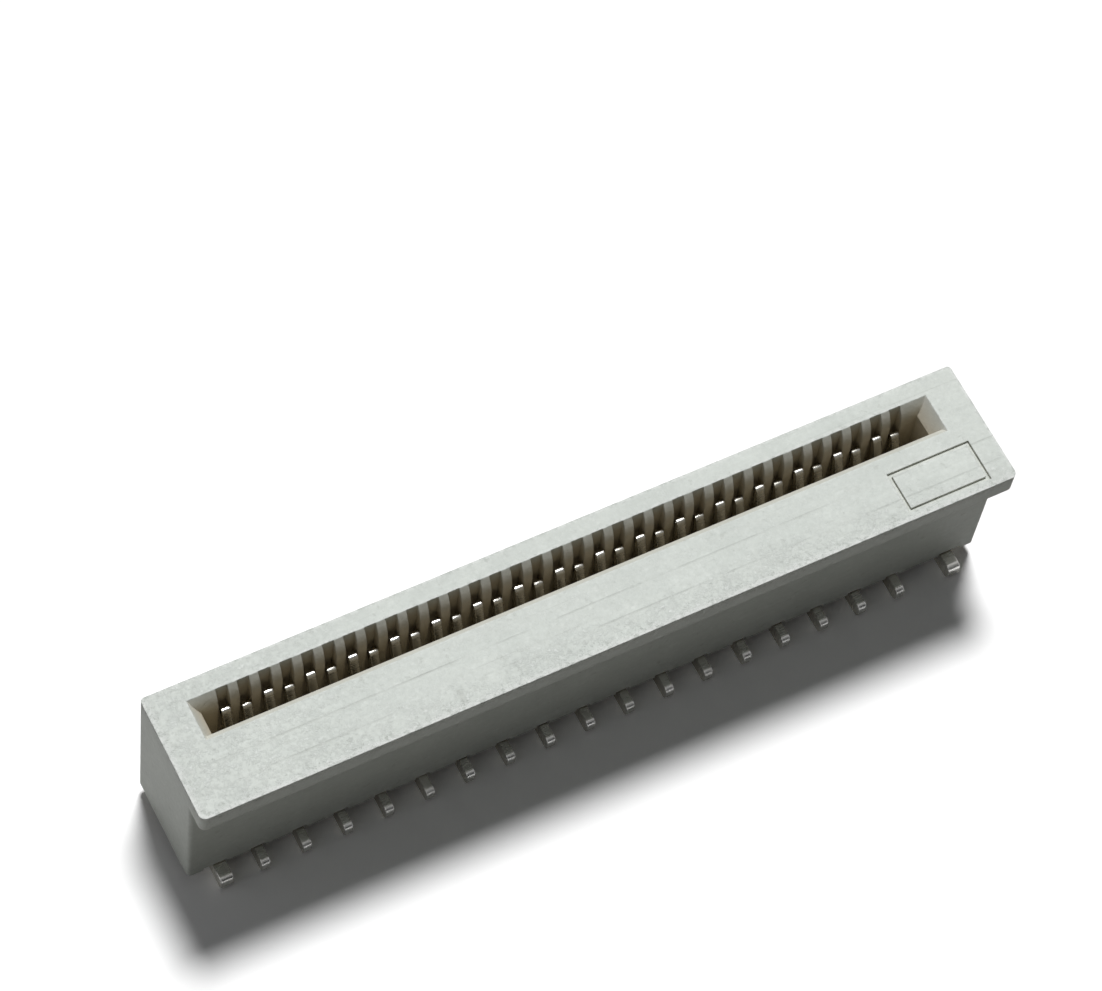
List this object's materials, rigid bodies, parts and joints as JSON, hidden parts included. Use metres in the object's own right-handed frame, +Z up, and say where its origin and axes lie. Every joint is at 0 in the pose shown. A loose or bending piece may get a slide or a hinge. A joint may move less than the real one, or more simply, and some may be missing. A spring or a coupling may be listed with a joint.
{
  "type": "flexible circuit connector",
  "caption": "Vertical surface-mount board connector for a flexible flat circuit: slim flanged housing with a comb-ribbed slot, stamped spring contacts and end solder tabs.",
  "frame": {"origin": "middle of the footprint on the solder plane, under the flat undersides of the feet", "axes": "+X along the row of contacts, +Y from the flange side to the back, +Z up, out of the slot"},
  "size_m": [0.0198, 0.0036, 0.0044],
  "materials": {
    "housing_plastic": "satin off-white high-temperature plastic",
    "contact_metal": "bright tin plating on stamped copper alloy",
    "tab_metal": "bright tin plating on stamped brass"
  },
  "bodies": {
    "root": {"housing": "housing_plastic", "solder_tab_left": "tab_metal", "solder_tab_right": "tab_metal", "contact_01": "contact_metal", "contact_02": "contact_metal", "contact_03": "contact_metal", "contact_04": "contact_metal", "contact_05": "contact_metal", "contact_06": "contact_metal", "contact_07": "contact_metal", "contact_08": "contact_metal", "contact_09": "contact_metal", "contact_10": "contact_metal", "contact_11": "contact_metal", "contact_12": "contact_metal", "contact_13": "contact_metal", "contact_14": "contact_metal", "contact_15": "contact_metal", "contact_16": "contact_metal", "contact_17": "contact_metal", "contact_18": "contact_metal", "contact_19": "contact_metal", "contact_20": "contact_metal", "contact_21": "contact_metal", "contact_22": "contact_metal", "contact_23": "contact_metal", "contact_24": "contact_metal", "contact_25": "contact_metal", "contact_26": "contact_metal", "contact_27": "contact_metal", "contact_28": "contact_metal", "contact_29": "contact_metal", "contact_30": "contact_metal", "contact_31": "contact_metal", "contact_32": "contact_metal", "contact_33": "contact_metal", "contact_34": "contact_metal"}
  },
  "joints": []
}
